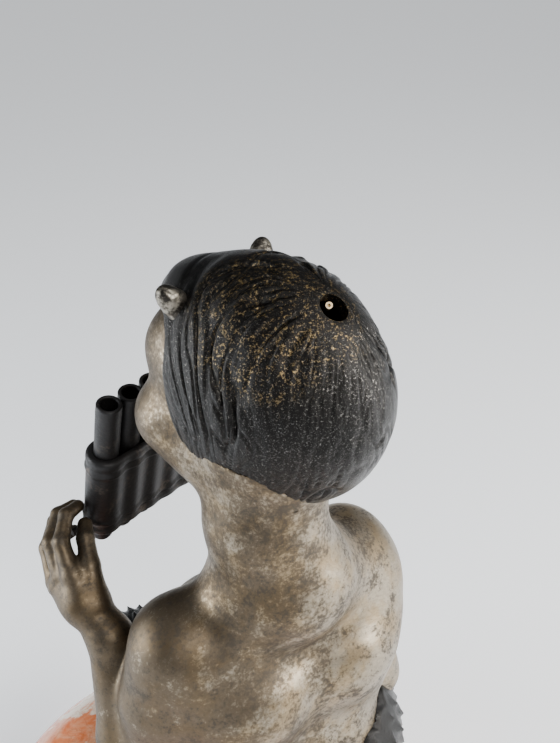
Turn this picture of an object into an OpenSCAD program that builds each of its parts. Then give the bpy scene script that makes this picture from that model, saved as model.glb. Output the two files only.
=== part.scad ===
// Seated faun child playing pan pipes: an assembled metal figurine on a rounded marble seat.
// Millimetres, +Z up, the chest faces -Y, the figure's left is +X.
// The origin is the centre of the base's rest face.

/* [Stone base] */
// Radius of the marble seat at its widest
stone_r = 54; // [46:1:66]
// Height of the marble seat
stone_h = 52; // [44:1:64]
// Thickness of the felt under it
felt_t = 2; // [1:0.5:4]
// How far the felt's edge stays inside the stone's flat underside
felt_inset = 0.5; // [0.5:0.5:6]

/* [Figure] */
// Height of the head's centre above the seat
head_rise = 127; // [112:1:152]
// Sideways place of the figure on the seat
figure_x = -20; // [-26:1:0]
// Front to back place of the figure on the seat
figure_y = 12; // [0:1:16]
// Half the distance between the shoulder joints
shoulder_half = 24.5; // [23:0.5:28]
// Radius of the hips
hip_r = 19.5; // [16.5:0.5:21]
// Height of the waist joint above the seat
waist_z = 24; // [20:1:30]

/* [Head] */
// Half the width of the hair
head_w = 18.6; // [17:0.2:22.4]
// Half the length of the hair, front to back
head_l = 25; // [23:0.5:30]
// Half the height of the hair
head_h = 24.6; // [23:0.2:29.6]
// Turn of the head towards the figure's left, degrees
head_turn = 16; // [0:1:25]
// Tilt of the face upwards, degrees
head_tilt = 7; // [0:1:12]
// Thickness of the hair shell
hair_wall = 2.2; // [1.6:0.1:3]
// Thickness of the face shell
face_wall = 2.4; // [1.8:0.1:3.5]
// Radius of the hole in the crown
crown_hole_r = 2.7; // [2:0.1:4]
// Length of a horn bud outside the hair
horn_len = 6; // [4:0.5:8]
// Radius of a horn bud
horn_r = 2.6; // [2:0.1:3.5]

/* [Pan pipes] */
// Number of pipes
pipe_count = 7; // [5:1:7]
// Outer radius of a pipe
pipe_r = 2.8; // [2.2:0.1:3.4]
// Gap between neighbouring pipes
pipe_gap = 0.1; // [0.05:0.05:0.6]
// Radius of a pipe's bore
pipe_bore_r = 1.9; // [1.4:0.1:2]
// Depth of the open bore
pipe_bore_depth = 14; // [8:1:18]
// Length of the longest pipe
pipe_len = 43; // [35:0.5:52]
// Length that each pipe loses against its longer neighbour
pipe_step = 0.4; // [0:0.1:2]
// Distance from the mouths to the binding
binding_drop = 14; // [10:1:18]
// Width of the binding
binding_w = 24; // [18:0.5:26]
// How far the binding stands proud of the pipes
binding_t = 1; // [0.6:0.1:2]

/* [Fastenings] */
// Radius of the tie rod
rod_r = 2; // [1.5:0.1:3]
// Radius of the pegs on the limbs
peg_r = 3.2; // [2.5:0.1:4]
// Length of the pegs on the limbs
peg_len = 8; // [6:0.5:11]
// Radius of the small cross pins
pin_r = 0.8; // [0.6:0.05:1.2]
// Radial clearance of a peg, pin or rod in its hole
fit = 0.05; // [0.02:0.01:0.1]
// Wall of the hollow torso
torso_wall = 4; // [3:0.5:6]

/* [Hidden] */

// rounding quality of the true round surfaces, and of the hulled limbs
$fn = 64;
limb_fn = 26;
eps = 0.01;
big = 200;

skin = "tan";
patina = "dimgray";

// joint faces stand this far apart
seam = 0.05;

stone_edge = stone_h / 2;
felt_r = stone_r - stone_edge - felt_inset;
seat_z = felt_t + stone_h;
head_c = [figure_x, figure_y, seat_z + head_rise];

// a point measured from the head's centre, and one measured from the seat below it
function up(x, y, z) = head_c + [x, y, z];
function low(x, y, z) = [figure_x + x, figure_y + y, seat_z + z];

// trunk
hip_y = 3;
hip_x = 13;
hip_z = hip_r - 1.5;
waist_r = 17.5;
chest_r = 18;
neck_r = 11.8;
neck_low = up(3, 8, -38);
neck_top = up(4, 5, -25);
neck_face = head_c.z - 22;
spigot_r = 6;
spigot_len = 9;
spigot_root = 3;
// the neck joint lies under the hair behind and under the chin in front
neck_joint_y = 16;
neck_joint_z = -16.3;
neck_joint_lean = 16.7;
waist_boss_r = 10;
waist_boss_h = 4;

// tie rod, upright through stone, hips, trunk and neck
rod_x = figure_x + 8;
rod_y = figure_y + 3;
rod_top = neck_face + spigot_len + 7;
washer_r = 7;
washer_t = 1.5;
nut_r = 4.6;
nut_h = 4;
pocket_r = 8;
pocket_h = 10;
dowel_r = 1.5;
dowel_len = 12;
dowel_gap = 12;

// arms
arm_r = 9;
elbow_r = 6.5;
wrist_r = 4.8;
palm_r = 4.8;
shoulder_z = -53;
shoulder_y = 1.5;
arm_face = shoulder_half - 3;
l_elbow = up(34, 3, -96);
r_elbow = up(-29.5, 2, -96);
hand_pin_rise = 8;

// legs
thigh_y = -17;
thigh_r = 11.9;
knee_r = 9;
hock_r = 5;
hoof_r = 5.2;
hoof_h = 9;
leg_x = 12;

// pan pipes
pipe_pitch = 2 * pipe_r + pipe_gap;
pipe_turn = 14;
pipe_tilt = 13;
pipes_at = up(21.1, -26.4, -13);
pipe_row = (pipe_count - 1) * pipe_pitch;
last_pipe_at = pipes_at - pipe_row * [cos(pipe_turn), sin(pipe_turn), 0];

// hands, from the mouth of the outermost pipe on their side and its outer radius
l_wrist = pipes_at + [pipe_r + 8.3, 13.1, -47];
l_palm = pipes_at + [pipe_r + 10.6, 2.4, -43.5];
l_fingers = pipes_at + [pipe_r + 7.6, -10.1, -34];
l_thumb = pipes_at + [pipe_r + 5.1, -2.6, -32.5];
r_wrist = last_pipe_at + [-pipe_r - 9.6, 11.7, -52];
r_palm = last_pipe_at + [-pipe_r - 8.6, 0.7, -44];
r_fingers = last_pipe_at + [-pipe_r - 5.1, -8.8, -33];
r_thumb = last_pipe_at + [-pipe_r - 3.1, -0.8, -33];
l_pin_reach = pipe_r + 5.7;
r_pin_reach = pipe_r + 6.2;

// head
face_y = -11;
face_z = 9;
nape_z = -16;
horn_x = 0.6 * head_w;
horn_y = -0.54 * head_l;
horn_z = 0.59 * head_h;
horn_out = 38;
horn_front = 32;
hole_y = 0.48 * head_l;
hole_z = 0.878 * head_h;
hole_lean = atan2(hole_y / pow(head_l, 2), hole_z / pow(head_h, 2));
horn_peg_r = 1.2;
horn_tip = 0.62 * horn_r;
horn_sink = 1.1;
horn_peg_len = 4;
skull_hole_r = crown_hole_r + 0.7;
cap_pin_r = 0.6;
cap_pin_bore = 0.3;
cap_pin_lean = [0.64, 0.47, 0.61];
cap_pin_end = [-1.5, hole_y - 2.2, hole_z - 1.6];
cap_pin_foot = cap_pin_end - cap_pin_lean * 5;

module ball(p, r) {
    translate(p) sphere(r, $fn = limb_fn);
}

module limb(p, pr, q, qr) {
    hull() {
        ball(p, pr);
        ball(q, qr);
    }
}

// a true cylinder from p to q
module bar(p, q, r) {
    v = q - p;
    translate(p)
        rotate([0, acos(v.z / norm(v)), atan2(v.y, v.x)])
            cylinder(r = r, h = norm(v));
}

module in_head() {
    translate(head_c) rotate([-head_tilt, 0, head_turn]) children();
}

module in_pipes() {
    translate(pipes_at) rotate([-pipe_tilt, 0, pipe_turn]) children();
}

// egg of the head, drawn in by a distance
module egg(inset) {
    scale([head_w - inset, head_l - inset, head_h - inset] / head_h) sphere(head_h);
}

// everything in front of the hair's edge and below the nape, kept a gap from the hair
module face_space(gap) {
    translate([-big / 2, face_y - gap - big, face_z - gap - big]) cube(big);
    translate([-big / 2, -big / 2, nape_z - gap - big]) cube(big);
}

// stone seat with flat faces and a full round edge
module stone_body() {
    translate([0, 0, felt_t]) {
        cylinder(r = stone_r - stone_edge, h = stone_h, $fn = 120);
        rotate_extrude($fn = 120)
            intersection() {
                translate([stone_r - stone_edge, stone_edge]) circle(stone_edge, $fn = 96);
                translate([0, 0]) square([stone_r + 1, stone_h]);
            }
    }
}

module stone_base() {
    color("coral")
        difference() {
            stone_body();
            translate([rod_x, rod_y, felt_t - eps]) cylinder(r = pocket_r, h = pocket_h + eps);
            translate([rod_x, rod_y, 0]) cylinder(r = rod_r + fit, h = seat_z + eps);
            translate([rod_x + dowel_gap, rod_y, seat_z - dowel_len / 2]) cylinder(r = dowel_r + fit, h = dowel_len);
        }
}

module felt_pad() {
    color("darkolivegreen")
        cylinder(r = felt_r, h = felt_t);
}

module base_washer() {
    color("silver")
        translate([rod_x, rod_y, felt_t + pocket_h - washer_t])
            difference() {
                cylinder(r = washer_r, h = washer_t);
                translate([0, 0, -eps]) cylinder(r = rod_r + fit, h = washer_t + 2 * eps);
            }
}

// six-sided nut with a plain hole
module nut(r, h) {
    difference() {
        cylinder(r = r, h = h, $fn = 6);
        translate([0, 0, -eps]) cylinder(r = rod_r + fit, h = h + 2 * eps);
    }
}

module base_nut() {
    color("silver")
        translate([rod_x, rod_y, felt_t + pocket_h - washer_t - nut_h]) nut(nut_r, nut_h);
}

module tie_rod() {
    color("silver")
        translate([rod_x, rod_y, felt_t + 1]) cylinder(r = rod_r, h = rod_top - felt_t - 1);
}

module head_nut() {
    color("gold")
        translate([rod_x, rod_y, neck_face + spigot_len]) nut(nut_r, nut_h);
}

// keeps the hips from turning on the stone
module base_dowel() {
    color("silver")
        translate([rod_x + dowel_gap, rod_y, seat_z - dowel_len / 2 + fit])
            cylinder(r = dowel_r, h = dowel_len - 2 * fit);
}

module hip_casting() {
    color(patina)
        difference() {
            union() {
                intersection() {
                    union() {
                        limb(low(-hip_x, hip_y, hip_z), hip_r, low(hip_x, hip_y, hip_z), hip_r);
                        for (side = [-1, 1])
                            limb(low(side * hip_x, hip_y, hip_z), hip_r - 0.5,
                                 low(side * leg_x, thigh_y + 2, hip_z), thigh_r);
                        limb(low(2, hip_y + hip_r - 2, hip_z - 4), 4, low(2, hip_y + hip_r + 2, hip_z - 10), 3.5);
                    }
                    translate(low(-big / 2, thigh_y + seam, 0)) cube([big, big, waist_z - seam]);
                }
                translate([rod_x, rod_y, seat_z + waist_z - eps - seam])
                    cylinder(r = waist_boss_r, h = waist_boss_h + eps);
            }
            translate([rod_x, rod_y, seat_z - 1]) cylinder(r = rod_r + fit, h = big / 2);
            translate([rod_x + dowel_gap, rod_y, seat_z - 1]) cylinder(r = dowel_r + fit, h = dowel_len / 2 + 1);
            for (side = [-1, 1]) {
                translate(low(side * leg_x, thigh_y - 1, hip_z))
                    rotate([-90, 0, 0]) cylinder(r = peg_r + fit, h = peg_len + 1.3);
                leg_pin(side, fit);
            }
        }
}

// upright cross pin through one thigh peg, grown by a clearance for its hole
module leg_pin(side, grow) {
    translate(low(side * leg_x, thigh_y + peg_len / 2 + 0.5, 2 - grow))
        cylinder(r = pin_r + grow, h = hip_z + peg_r + 2 * grow);
}

module leg_pins() {
    color("silver")
        for (side = [-1, 1]) leg_pin(side, 0);
}

module trunk_skin() {
    hull()
        for (side = [-1, 1]) {
            ball(up(side * 9, 0, -70), chest_r);
            ball(up(side * 13, 9, -64), 12);
            ball(up(side * shoulder_half, shoulder_y, shoulder_z), arm_r);
        }
    hull()
        for (side = [-1, 1]) {
            ball(up(side * 9, 0, -70), chest_r);
            ball(low(side * 8, hip_y, waist_z + 9), waist_r);
        }
    hull()
        for (side = [-1, 1]) {
            ball(low(side * 8, hip_y, waist_z + 9), waist_r);
            ball(low(side * hip_x, hip_y, hip_z), hip_r);
        }
    hull() {
        ball(neck_low, neck_r + 0.7);
        for (side = [-1, 1]) ball(up(side * 12, 8, -60), 11);
    }
    limb(neck_low, neck_r + 0.7, neck_top, neck_r);
}

// everything under the slanting joint between the trunk's neck and the head
module under_neck_joint(gap) {
    in_head()
        translate([0, neck_joint_y, neck_joint_z - gap])
            rotate([neck_joint_lean, 0, 0]) translate([-big / 2, -big / 2, -big]) cube(big);
}

module torso_shell() {
    color(skin)
        difference() {
            union() {
                intersection() {
                    trunk_skin();
                    translate(low(-arm_face + seam, -big / 2, waist_z)) cube([2 * (arm_face - seam), big, big]);
                    under_neck_joint(seam);
                }
                translate([rod_x, rod_y, neck_face - spigot_root]) cylinder(r = spigot_r, h = spigot_len + spigot_root);
            }
            hull()
                for (side = [-1, 1]) {
                    ball(up(side * 6, 0, -66), chest_r - torso_wall);
                    ball(low(side * 6, hip_y, waist_z + 20), waist_r - torso_wall);
                }
            translate([rod_x, rod_y, seat_z + waist_z - 1])
                cylinder(r = waist_boss_r + fit, h = waist_boss_h + 8);
            translate([rod_x, rod_y, seat_z + waist_z - 1]) cylinder(r = rod_r + fit, h = big);
            for (side = [-1, 1]) {
                arm_socket(side);
                shoulder_pin(side, fit);
            }
        }
}

module arm_socket(side) {
    translate(up(side * (arm_face + 1), shoulder_y, shoulder_z))
        rotate([0, -side * 90, 0]) cylinder(r = peg_r + fit, h = peg_len + 1.3);
}

// cross pin through one shoulder peg, from the back, grown by a clearance for its hole
module shoulder_pin(side, grow) {
    translate(up(side * (arm_face - peg_len / 2), shoulder_y - peg_r - 1 - grow, shoulder_z))
        rotate([-90, 0, 0]) cylinder(r = pin_r + grow, h = 2 * peg_r + 5 + 2 * grow);
}

module shoulder_pins() {
    color("silver")
        for (side = [-1, 1]) shoulder_pin(side, 0);
}

module skull_skin() {
    egg(hair_wall + 0.1);
    intersection() {
        union() {
            egg(0);
            hull()
                for (side = [-1, 1]) {
                    ball([side * 9, -13, -12], 8.2);
                    ball([side * 7, -15, 1], 8.6);
                    ball([side * 2, -16.5, -24], 5.5);
                    ball([side * 7, -2, -20], 7);
                }
            // nose and lips
            hull() {
                ball([0, -23.5, -2], 2);
                ball([0, -25.5, -9], 2.4);
            }
            hull() {
                ball([-2.5, -22.5, -16], 1.8);
                ball([2.5, -22.5, -16], 1.8);
            }
        }
        face_space(0.1);
    }
}

module head_shell() {
    color(skin)
        difference() {
            union() {
                in_head() skull_skin();
                intersection() {
                    limb(neck_top, neck_r, up(1, 3, -12), 12.5);
                    in_head() face_space(0.1);
                }
            }
            in_head() egg(hair_wall + face_wall + 0.1);
            in_head() crown_hole(skull_hole_r);
            in_head() bar(cap_pin_foot - cap_pin_lean, cap_pin_end, cap_pin_r + fit);
            under_neck_joint(0);
            translate([rod_x, rod_y, neck_face - spigot_root]) cylinder(r = spigot_r + fit, h = spigot_len + 9);
            in_head() for (side = [-1, 1]) horn_peg(side, fit);
        }
}

module horn_peg(side, grow) {
    translate([side * horn_x, horn_y, horn_z])
        rotate([horn_front, side * horn_out, 0])
            translate([0, 0, -horn_peg_len - grow]) cylinder(r = horn_peg_r + grow, h = horn_peg_len + horn_len / 2);
}

module crown_hole(r) {
    translate([0, hole_y, hole_z]) rotate([-hole_lean, 0, 0]) translate([0, 0, -7]) cylinder(r = r, h = 15);
}

module hair_cap() {
    color(patina)
        in_head()
            difference() {
                egg(0);
                egg(hair_wall);
                face_space(0);
                crown_hole(crown_hole_r);
                for (side = [-1, 1]) horn_peg(side, fit);
            }
}

// hollow pin set slanting in the skull's wall; its end shows through the crown hole
module cap_pin() {
    color("gold")
        in_head()
            difference() {
                bar(cap_pin_foot, cap_pin_end, cap_pin_r);
                bar(cap_pin_end - cap_pin_lean * 2, cap_pin_end + cap_pin_lean, cap_pin_bore);
            }
}

module horn(side) {
    in_head()
        union() {
            translate([side * horn_x, horn_y, horn_z])
                rotate([horn_front, side * horn_out, 0]) {
                    translate([0, 0, horn_sink]) cylinder(r1 = horn_r, r2 = horn_tip, h = horn_len - horn_tip - horn_sink);
                    translate([0, 0, horn_len - horn_tip]) sphere(horn_tip);
                }
            horn_peg(side, 0);
        }
}

module left_horn() {
    color("silver") horn(1);
}

module right_horn() {
    color("silver") horn(-1);
}

// one arm with its hand, the peg at its shoulder and the hole for the pin to the pipes
module arm(side, elbow, wrist, palm, fingers, thumb) {
    shoulder = up(side * shoulder_half, shoulder_y, shoulder_z);
    difference() {
        union() {
            intersection() {
                limb(shoulder, arm_r, elbow, elbow_r);
                translate([side > 0 ? figure_x + arm_face : figure_x - arm_face - big, -big / 2, 0])
                    cube(2 * big - (side > 0 ? 0 : big));
            }
            limb(elbow, elbow_r, wrist, wrist_r);
            limb(wrist, wrist_r, palm, palm_r);
            limb(palm, palm_r, fingers, 3.6);
            limb(palm, 3.6, thumb, 2.2);
            bar(up(side * (arm_face + 1), shoulder_y, shoulder_z),
                up(side * (arm_face - peg_len), shoulder_y, shoulder_z), peg_r);
        }
        shoulder_pin(side, fit);
        hand_pin(side, fit);
    }
}

module left_arm() {
    color(skin) arm(1, l_elbow, l_wrist, l_palm, l_fingers, l_thumb);
}

module right_arm() {
    color(skin) arm(-1, r_elbow, r_wrist, r_palm, r_fingers, r_thumb);
}

// pin from the finger tips into the solid foot of the outermost pipe
module hand_pin(side, grow) {
    k = side > 0 ? 0 : pipe_count - 1;
    reach = side > 0 ? l_pin_reach : r_pin_reach;
    in_pipes()
        translate([-k * pipe_pitch, 0, -(pipe_len - pipe_step * k) + hand_pin_rise])
            rotate([0, side * 90, 0])
                translate([0, 0, -grow]) cylinder(r = pin_r + grow, h = reach + 2 * grow);
}

module left_hand_pin() {
    color("silver") hand_pin(1, 0);
}

module right_hand_pin() {
    color("silver") hand_pin(-1, 0);
}

// one goat leg: thigh, shank, cannon and hoof, with the peg at its hip
module leg(side) {
    knee = low(side * (leg_x + 2), -46, 18);
    hock = low(side * (leg_x + 1), -63, -4);
    fetlock = low(side * (leg_x - 1), -69.5, -17);
    difference() {
        union() {
            intersection() {
                limb(low(side * leg_x, thigh_y, hip_z), thigh_r, knee, knee_r);
                translate(low(-big / 2, thigh_y - seam - big, -big / 2)) cube(big);
            }
            limb(knee, knee_r, hock, hock_r);
            limb(hock, hock_r, fetlock, 3.8);
            translate(fetlock + [0, -0.8, -hoof_h - 1])
                difference() {
                    cylinder(r1 = hoof_r, r2 = 3.9, h = hoof_h);
                    translate([-0.4, -hoof_r - 1, -1]) cube([0.8, hoof_r, hoof_h - 1]);
                }
            bar(low(side * leg_x, thigh_y - 2, hip_z), low(side * leg_x, thigh_y + peg_len, hip_z), peg_r);
        }
        leg_pin(side, fit);
    }
}

module left_leg() {
    color(patina) leg(1);
}

module right_leg() {
    color(patina) leg(-1);
}

module pipe_body(k, r) {
    l = pipe_len - pipe_step * k;
    in_pipes()
        translate([-k * pipe_pitch, 0, -l + r]) {
            cylinder(r = r, h = l - r);
            sphere(r);
        }
}

module pipe(k) {
    side = k == 0 ? 1 : -1;
    color("black")
        difference() {
            pipe_body(k, pipe_r);
            in_pipes()
                translate([-k * pipe_pitch, 0, -pipe_bore_depth]) cylinder(r = pipe_bore_r, h = pipe_bore_depth + 1);
            if (k == 0 || k == pipe_count - 1) hand_pin(side, fit);
        }
}

module pipe_1() {
    pipe(0);
}

module pipe_2() {
    pipe(1);
}

module pipe_3() {
    pipe(2);
}

module pipe_4() {
    pipe(3);
}

module pipe_5() {
    pipe(4);
}

module pipe_6() {
    if (pipe_count > 5) pipe(5);
}

module pipe_7() {
    if (pipe_count > 6) pipe(6);
}

// flat bar with round ends that takes in all the pipes
module row_of_pipes(span, half, h) {
    translate([-span, -half, 0]) cube([span, 2 * half, h]);
    cylinder(r = half, h = h);
    translate([-span, 0, 0]) cylinder(r = half, h = h);
}

// band around all the pipes
module pipe_binding() {
    half = pipe_r + binding_t;
    color("black")
        difference() {
            in_pipes()
                translate([0, 0, -binding_drop - binding_w])
                    difference() {
                        row_of_pipes(pipe_row, half, binding_w);
                        translate([0, 0, -1]) row_of_pipes(pipe_row, pipe_r + fit, binding_w + 2);
                    }
            for (side = [-1, 1]) hand_pin(side, fit);
        }
}

stone_base();
felt_pad();
base_washer();
base_nut();
tie_rod();
head_nut();
base_dowel();
hip_casting();
torso_shell();
head_shell();
hair_cap();
cap_pin();
left_horn();
right_horn();
left_arm();
right_arm();
shoulder_pins();
left_leg();
right_leg();
leg_pins();
pipe_1();
pipe_2();
pipe_3();
pipe_4();
pipe_5();
pipe_6();
pipe_7();
pipe_binding();
left_hand_pin();
right_hand_pin();
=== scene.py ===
import math
import bpy
import numpy as np
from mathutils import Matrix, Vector


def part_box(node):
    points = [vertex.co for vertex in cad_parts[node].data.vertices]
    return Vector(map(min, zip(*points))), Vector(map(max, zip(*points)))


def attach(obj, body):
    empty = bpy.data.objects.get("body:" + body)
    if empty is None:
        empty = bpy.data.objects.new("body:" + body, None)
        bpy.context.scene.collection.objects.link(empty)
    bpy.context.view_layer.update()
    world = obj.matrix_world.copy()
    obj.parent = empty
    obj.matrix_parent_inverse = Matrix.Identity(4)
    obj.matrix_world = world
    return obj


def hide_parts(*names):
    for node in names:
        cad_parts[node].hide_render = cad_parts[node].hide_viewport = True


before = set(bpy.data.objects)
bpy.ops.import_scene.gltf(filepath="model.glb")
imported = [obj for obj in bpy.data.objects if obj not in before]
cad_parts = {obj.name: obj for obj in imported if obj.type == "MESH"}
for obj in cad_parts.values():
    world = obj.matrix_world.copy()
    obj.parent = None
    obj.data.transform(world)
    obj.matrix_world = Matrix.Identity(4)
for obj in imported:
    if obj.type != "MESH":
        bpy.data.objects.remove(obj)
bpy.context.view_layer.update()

millimetre = 0.001
settleTurns = 4
print("frame loaded")


def boxOf(node):
    # low and high corners of a CAD node, in millimetres
    low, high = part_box(node)
    return np.array(low) / millimetre, np.array(high) / millimetre


rodLow, rodHigh = boxOf("tie_rod")
stoneLow, stoneHigh = boxOf("stone_base")
floorHeight = boxOf("felt_pad")[0][2]

figure = {
    "rodFromHead": (8.0, 3.0, -6.0),  # the tie rod's top end, from the head's centre
    "headTurn": 16.0,                 # degrees, to the figure's left
    "headTilt": 7.0,                  # degrees, face upwards
    "waistHeight": 24.0,              # the trunk meets the fur at this height over the seat
    "neckJoint": (0.0, 16.0, -16.3),  # a point of the slanting neck joint, in the head's axes
    "neckLean": 16.7,                 # degrees
    "thighFace": -17.0,               # the legs meet the hips here, from the seat point
    "seam": -0.05,                    # each side of a filed joint runs this much past it
    "shoulderPlane": 14.0,            # an arm's share of the skin begins outside this, from the head's centre
}

rodTop = np.array([(rodLow[0] + rodHigh[0]) / 2, (rodLow[1] + rodHigh[1]) / 2, rodHigh[2]])
headCentre = rodTop - np.array(figure["rodFromHead"])
seatPoint = np.array([headCentre[0], headCentre[1], stoneHigh[2]])
turn = math.radians(figure["headTurn"])
tilt = math.radians(figure["headTilt"])
leftWay = np.array([math.cos(turn), math.sin(turn), 0.0])
levelBack = np.array([-math.sin(turn), math.cos(turn), 0.0])
backWay = levelBack * math.cos(tilt) - np.array([0, 0, math.sin(tilt)])
crownWay = levelBack * math.sin(tilt) + np.array([0, 0, math.cos(tilt)])
headAxes = np.array([leftWay, backWay, crownWay])


def up(x, y, z):
    # a point measured from the head's centre
    return headCentre + np.array([x, y, z], float)


def low(x, y, z):
    # a point measured from the seat under the head
    return seatPoint + np.array([x, y, z], float)


def inHead(points):
    # world points seen from the head: left, back and up
    return (points - headCentre) @ headAxes.T


def fromHead(points):
    # points given as left, back and up of the head, put in the world
    return np.asarray(points, float) @ headAxes + headCentre


def ball(points, centre, radius):
    # distance to the centre less the radius
    return np.linalg.norm(points - np.asarray(centre, float), axis=-1) - radius


def knob(points, place):
    # a ball given as left, back, up and radius
    return ball(points, place[:3], place[3])


def limb(points, start, startRadius, end, endRadius):
    # distance to the nearest point of the line, less a radius that runs evenly from one end to the other
    start, end = np.asarray(start, float), np.asarray(end, float)
    way = end - start
    t = np.clip((points - start) @ way / (way @ way), 0, 1)
    reach = np.linalg.norm(points - start - t[..., None] * way, axis=-1)
    return reach - startRadius - t * (endRadius - startRadius)


def melt(soft, first, *others):
    # smooth minimum: a parabola of width soft rounds the place where two distances are equal
    for other in others:
        overlap = np.maximum(soft - np.abs(first - other), 0) / soft
        first = np.minimum(first, other) - overlap ** 2 * soft / 4
    return first


def carve(soft, body, *tools):
    # smooth maximum of the body and the outside of each tool
    for tool in tools:
        body = -melt(soft, -body, tool)
    return body


def chain(points, knots, soft):
    # limbs from knot to knot, each knot a point and a radius, melted together
    return melt(soft, *[limb(points, *a, *b) for a, b in zip(knots, knots[1:])])


def egg(points, radii):
    # ellipsoid about the origin: scaled length times its shortfall from one, over the slope
    radii = np.asarray(radii, float)
    scaled = np.linalg.norm(points / radii, axis=-1)
    slope = np.linalg.norm(points / radii ** 2, axis=-1) + 1e-9
    return scaled * (scaled - 1) / slope


def noise2(u, v, seed, around=0):
    # smooth random heights on a lattice, from 0 to 1; around is the number of cells after which u repeats
    table = np.random.default_rng(seed).random((64, 64))
    iu, iv = np.floor(u).astype(int), np.floor(v).astype(int)
    fu, fv = u - iu, v - iv
    fu, fv = fu * fu * (3 - 2 * fu), fv * fv * (3 - 2 * fv)
    nu = iu + 1
    if around:
        iu, nu = iu % around, nu % around
    a, b = table[iu % 64, iv % 64], table[nu % 64, iv % 64]
    c, d = table[iu % 64, (iv + 1) % 64], table[nu % 64, (iv + 1) % 64]
    return (a * (1 - fu) + b * fu) * (1 - fv) + (c * (1 - fu) + d * fu) * fv


def netSurface(field, lowCorner, highCorner, step):
    # one point in every cell that the surface crosses, at the mean of its edge crossings, and one face
    # round every grid edge that it cuts; far from the surface only every fourth grid point is worked out
    ticks = [np.arange(lowCorner[a] - 2 * step, highCorner[a] + 3 * step, step) for a in range(3)]
    grid = np.stack(np.meshgrid(*ticks, indexing="ij"), -1)
    rough = field(grid[::4, ::4, ::4].reshape(-1, 3)).reshape(grid[::4, ::4, ::4].shape[:3])
    value = rough.repeat(4, 0).repeat(4, 1).repeat(4, 2)[:grid.shape[0], :grid.shape[1], :grid.shape[2]]
    near = np.abs(value) < 9 * step
    value[near] = field(grid[near])
    size = np.array(value.shape) - 1
    total = np.zeros((*size, 3))
    count = np.zeros(size)
    for axis in range(3):
        second, third = (axis + 1) % 3, (axis + 2) % 3
        for u, v in ((0, 0), (0, 1), (1, 0), (1, 1)):
            near = [0, 0, 0]
            near[second], near[third] = u, v
            far = list(near)
            far[axis] = 1
            a = value[tuple(slice(near[k], near[k] + size[k]) for k in range(3))]
            b = value[tuple(slice(far[k], far[k] + size[k]) for k in range(3))]
            crossed = (a < 0) != (b < 0)
            total[..., axis] += np.where(crossed, a / np.where(crossed, a - b, 1), 0)
            total[..., second] += u * crossed
            total[..., third] += v * crossed
            count += crossed
    active = np.argwhere(count > 0)
    places = total[tuple(active.T)] / count[tuple(active.T)][:, None]
    points = np.array([tick[0] for tick in ticks]) + (active + places) * step
    number = -np.ones(size, int)
    number[tuple(active.T)] = np.arange(len(active))
    inside = value < 0
    faces = []
    for axis in range(3):
        second, third = (axis + 1) % 3, (axis + 2) % 3
        ahead = np.take(inside, range(1, size[axis] + 1), axis)
        cut = np.argwhere(ahead != np.take(inside, range(size[axis]), axis))
        keep = (cut[:, second] > 0) & (cut[:, third] > 0)
        keep &= (cut[:, second] < size[second]) & (cut[:, third] < size[third])
        cut = cut[keep]
        ring = []
        for u, v in ((-1, -1), (0, -1), (0, 0), (-1, 0)):
            cell = cut.copy()
            cell[:, second] += u
            cell[:, third] += v
            ring.append(number[tuple(cell.T)])
        ring = np.stack(ring, 1)
        faces.append(np.where(inside[tuple(cut.T)][:, None], ring, ring[:, ::-1]))
    return points, np.concatenate(faces)


def slopeOf(field, points, reach=0.05):
    # field values and their slopes, from small steps along each axis
    here = field(points)
    slope = np.stack([field(points + reach * np.eye(3)[a]) - here for a in range(3)], -1) / reach
    return here, slope


def settle(points, skin, cuts, step):
    # slides the points onto the skin, onto the cuts, or onto both where they meet, so that edges are crisp
    for _ in range(settleTurns):
        here, slope = slopeOf(skin, points)
        flats = [cut(points) for cut in cuts]
        worst = np.max(flats, 0) if cuts else np.full(len(points), -1e9)
        onSkin = (here > worst) | (np.abs(here) < 0.8 * step)
        move = np.clip(here / np.maximum((slope ** 2).sum(-1), 0.3), -step, step)
        points = points - np.where(onSkin, move, 0)[:, None] * slope
        for cut in cuts:
            off, slope = slopeOf(cut, points)
            onCut = (off > here) | (np.abs(off) < 0.55 * step)
            move = np.clip(off / np.maximum((slope ** 2).sum(-1), 0.3), -step, step)
            points = points - np.where(onCut, move, 0)[:, None] * slope
    return points


def carvedPiece(name, skin, cuts, lowCorner, highCorner, step):
    # mesh of the inside of a skin, without the side of each cut where its field is above 0
    def whole(points):
        return np.max([skin(points)] + [cut(points) for cut in cuts], 0)

    points, faces = netSurface(whole, np.asarray(lowCorner, float), np.asarray(highCorner, float), step)
    return makeMesh(name, settle(points, skin, cuts, step), faces)


def makeMesh(name, points, faces, crease=50):
    # points in millimetres and faces of equal length, made in metres; edges past the crease angle are sharp
    mesh = bpy.data.meshes.new(name)
    points = np.asarray(points, float) * millimetre
    faces = np.asarray(faces)
    mesh.vertices.add(len(points))
    mesh.vertices.foreach_set("co", points.ravel())
    mesh.loops.add(faces.size)
    mesh.loops.foreach_set("vertex_index", faces.ravel())
    mesh.polygons.add(len(faces))
    mesh.polygons.foreach_set("loop_start", np.arange(len(faces)) * faces.shape[1])
    mesh.update(calc_edges=True)
    mesh.validate()
    mesh.polygons.foreach_set("use_smooth", np.ones(len(mesh.polygons), bool))
    mesh.set_sharp_from_angle(angle=math.radians(crease))
    piece = bpy.data.objects.new(name, mesh)
    bpy.context.scene.collection.objects.link(piece)
    return piece


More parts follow.
